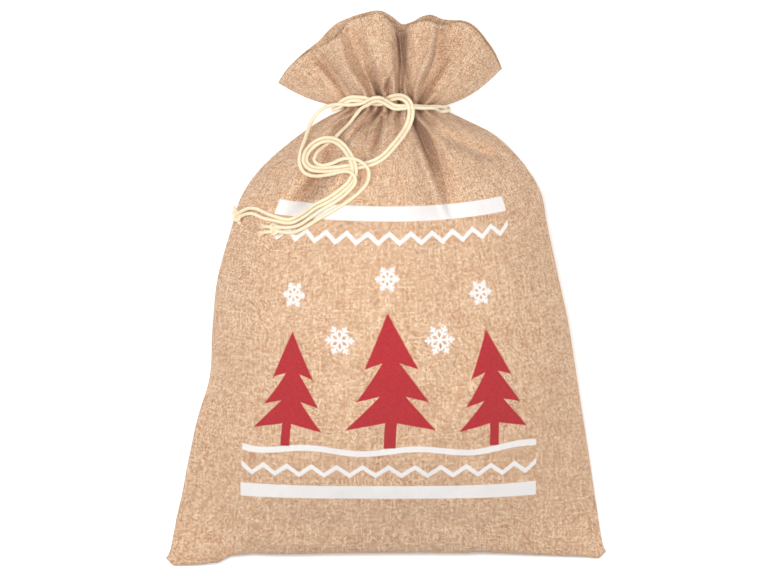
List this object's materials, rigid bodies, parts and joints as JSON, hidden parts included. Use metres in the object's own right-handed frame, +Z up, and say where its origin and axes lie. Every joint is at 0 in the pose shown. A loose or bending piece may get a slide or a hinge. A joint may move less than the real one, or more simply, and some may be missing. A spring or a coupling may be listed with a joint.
{
  "type": "burlap sack",
  "caption": "Drawstring sack of coarse woven burlap lying on its back, plump in the middle, with a gathered neck, a flared ruffle and thin cotton cords that end in knots.",
  "frame": {"origin": "on the surface the sack lies on, under the middle of the sack's outline", "axes": "+Y along the sack from its bottom seam to its mouth, +X to the right with the mouth at the top, +Z up from the surface and out of the front"},
  "size_m": [0.5012, 0.6299, 0.159],
  "materials": {
    "burlap": "matte, coarse plain weave",
    "cord": "matte, soft twisted cotton"
  },
  "bodies": {
    "root": {"front_panel": "burlap", "back_panel": "burlap", "strand_left_a": "cord", "strand_left_b": "cord", "strand_right_a": "cord", "strand_right_b": "cord", "knot_left": "cord", "knot_right": "cord", "end_left_a": "cord", "end_left_b": "cord", "end_right_a": "cord", "end_right_b": "cord"}
  },
  "joints": []
}
